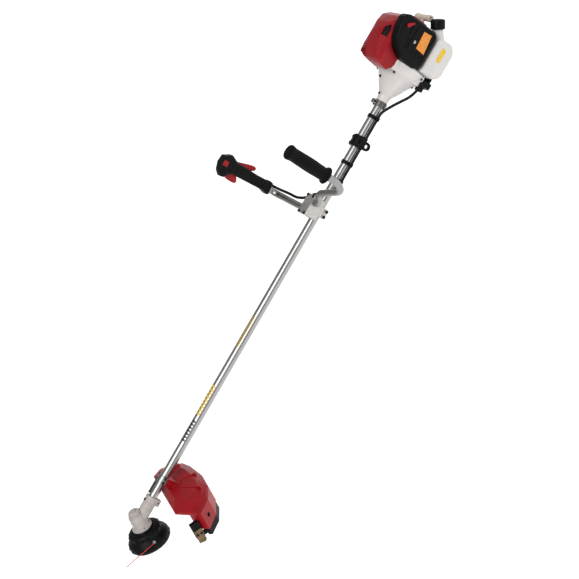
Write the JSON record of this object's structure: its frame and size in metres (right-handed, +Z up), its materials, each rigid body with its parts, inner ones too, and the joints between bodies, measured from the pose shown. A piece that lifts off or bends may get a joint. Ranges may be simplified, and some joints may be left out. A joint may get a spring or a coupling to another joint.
{
  "type": "string trimmer",
  "caption": "Petrol string trimmer: straight shaft with angled gearhead, bump-feed line head and debris guard, bike-type handlebar with throttle, harness eye and rear two-stroke engine.",
  "frame": {"origin": "centre of the harness eye's hole, below the shaft", "axes": "+X along the shaft towards the engine, +Y to the operator's right along the harness eye's hole, +Z up towards the handlebar grips"},
  "size_m": [1.9477, 0.446, 0.4686],
  "materials": {
    "steel": "satin",
    "dark_steel": "satin",
    "blade_steel": "satin",
    "aluminium_tube": "polished",
    "satin_bar": "satin",
    "cast_alloy": "cast",
    "engine_alloy": "cast",
    "red_plastic": "gloss",
    "black_plastic": "satin",
    "white_plastic": "satin",
    "tank_plastic": "satin",
    "beige_plastic": "satin",
    "rubber": "matte",
    "red_line": "gloss",
    "foam": "matte"
  },
  "bodies": {
    "frame": {"air_filter": "foam", "air_filter_cover": "black_plastic", "ball_bearings": "steel", "cable_clips": "black_plastic", "cap_screws": "dark_steel", "carburettor": "engine_alloy", "clutch_housing": "white_plastic", "crankcase": "engine_alloy", "cylinder": "engine_alloy", "debris_guard": "red_plastic", "engine_cover": "red_plastic", "engine_foot": "black_plastic", "front_screws": "dark_steel", "fuel_tank": "tank_plastic", "gearhead_cap": "cast_alloy", "gearhead_housing": "cast_alloy", "guard_bracket": "steel", "guard_skirt": "black_plastic", "handle_bracket": "cast_alloy", "handle_cap": "cast_alloy", "harness_clamp_lower": "black_plastic", "harness_clamp_upper": "black_plastic", "left_grip": "rubber", "left_handle_tube": "satin_bar", "line_cutter": "blade_steel", "muffler": "dark_steel", "recoil_housing": "black_plastic", "right_handle_tube": "aluminium_tube", "shaft_bushes": "rubber", "shaft_tube": "aluminium_tube", "spark_plug": "steel", "throttle_cable": "rubber", "throttle_shell_left": "black_plastic", "throttle_shell_right": "black_plastic", "tube_collar": "black_plastic"},
    "cutting_head": {"arbor_flange": "steel", "output_spindle": "steel", "output_gear": "dark_steel", "head_housing": "black_plastic", "head_cover": "black_plastic", "line_eyelets": "steel", "trimmer_line": "red_line"},
    "feed_spring": {"spool_spring": "steel"},
    "spool": {"line_spool": "black_plastic", "bump_knob": "black_plastic"},
    "drive_line": {"drive_rod": "steel", "input_pinion": "dark_steel", "clutch_drum": "dark_steel"},
    "crank": {"crankshaft": "steel", "flywheel": "engine_alloy", "clutch_shoes": "dark_steel"},
    "piston": {"piston": "engine_alloy"},
    "pulley": {"starter_pulley": "black_plastic"},
    "starter": {"starter_handle": "beige_plastic"},
    "trigger": {"throttle_trigger": "red_plastic"},
    "lockout": {"lockout_lever": "red_plastic"},
    "switch": {"stop_switch": "red_plastic"},
    "choke": {"choke_lever": "red_plastic"},
    "cap_lift": {"fuel_cap_seal": "rubber"},
    "cap": {"fuel_cap": "black_plastic"}
  },
  "joints": [
    {"name": "head_spin", "type": "hinge", "parent": "frame", "child": "cutting_head", "pos_m": [-1.366, 0, 0.033], "axis": [0.5, 0, 0.866], "continuous": true},
    {"name": "spool_press", "type": "slide", "parent": "cutting_head", "child": "feed_spring", "axis": [0.5, 0, 0.866], "range_m": [0, 0.006], "stiffness_N_per_m": 600, "springref_m": -0.003},
    {"name": "spool_feed", "type": "hinge", "parent": "feed_spring", "child": "spool", "pos_m": [-1.366, 0, 0.033], "axis": [0.5, 0, 0.866], "continuous": true},
    {"name": "shaft_spin", "type": "hinge", "parent": "frame", "child": "drive_line", "pos_m": [0, 0, 0.033], "axis": [1, 0, 0], "continuous": true},
    {"name": "crank_spin", "type": "hinge", "parent": "frame", "child": "crank", "pos_m": [0, 0, 0.033], "axis": [1, 0, 0], "continuous": true},
    {"name": "piston_slide", "type": "slide", "parent": "frame", "child": "piston", "axis": [0, 0, 1], "range_m": [-0.014, 0.014]},
    {"name": "starter_pull", "type": "slide", "parent": "frame", "child": "starter", "axis": [1, 0, 0], "range_m": [0, 0.6], "stiffness_N_per_m": 20, "springref_m": -0.15},
    {"name": "starter_pulley_turn", "type": "hinge", "parent": "frame", "child": "pulley", "pos_m": [0, 0, 0.033], "axis": [1, 0, 0], "range_deg": [0, 1200]},
    {"name": "throttle", "type": "hinge", "parent": "frame", "child": "trigger", "pos_m": [-0.287, 0.2, 0.285], "axis": [0, -1, 0], "range_deg": [0, 14], "stiffness_Nm_per_rad": 0.6, "springref_deg": -5.73},
    {"name": "throttle_lockout", "type": "hinge", "parent": "frame", "child": "lockout", "pos_m": [-0.247, 0.2, 0.269], "axis": [0, 1, 0], "range_deg": [0, 5], "stiffness_Nm_per_rad": 0.8, "springref_deg": -5.73},
    {"name": "stop_rocker", "type": "hinge", "parent": "frame", "child": "switch", "pos_m": [-0.264, 0.182, 0.304], "axis": [1, 0, 0], "range_deg": [-6, 6]},
    {"name": "choke_turn", "type": "hinge", "parent": "frame", "child": "choke", "pos_m": [0.369, -0.1, 0.136], "axis": [0, 1, 0], "range_deg": [0, 45]},
    {"name": "cap_lift_off", "type": "slide", "parent": "frame", "child": "cap_lift", "axis": [0.8192, 0, 0.5736], "range_m": [0, 0.03]},
    {"name": "cap_unscrew", "type": "hinge", "parent": "cap_lift", "child": "cap", "pos_m": [0.433, -0.062, 0.034], "axis": [0.8192, 0, 0.5736], "range_deg": [0, 540]}
  ],
  "couplings": [
    {"joint": "shaft_spin", "follows": "head_spin", "ratio": -1.3571},
    {"joint": "starter_pulley_turn", "follows": "starter_pull", "rad_per_m": 29.851}
  ]
}
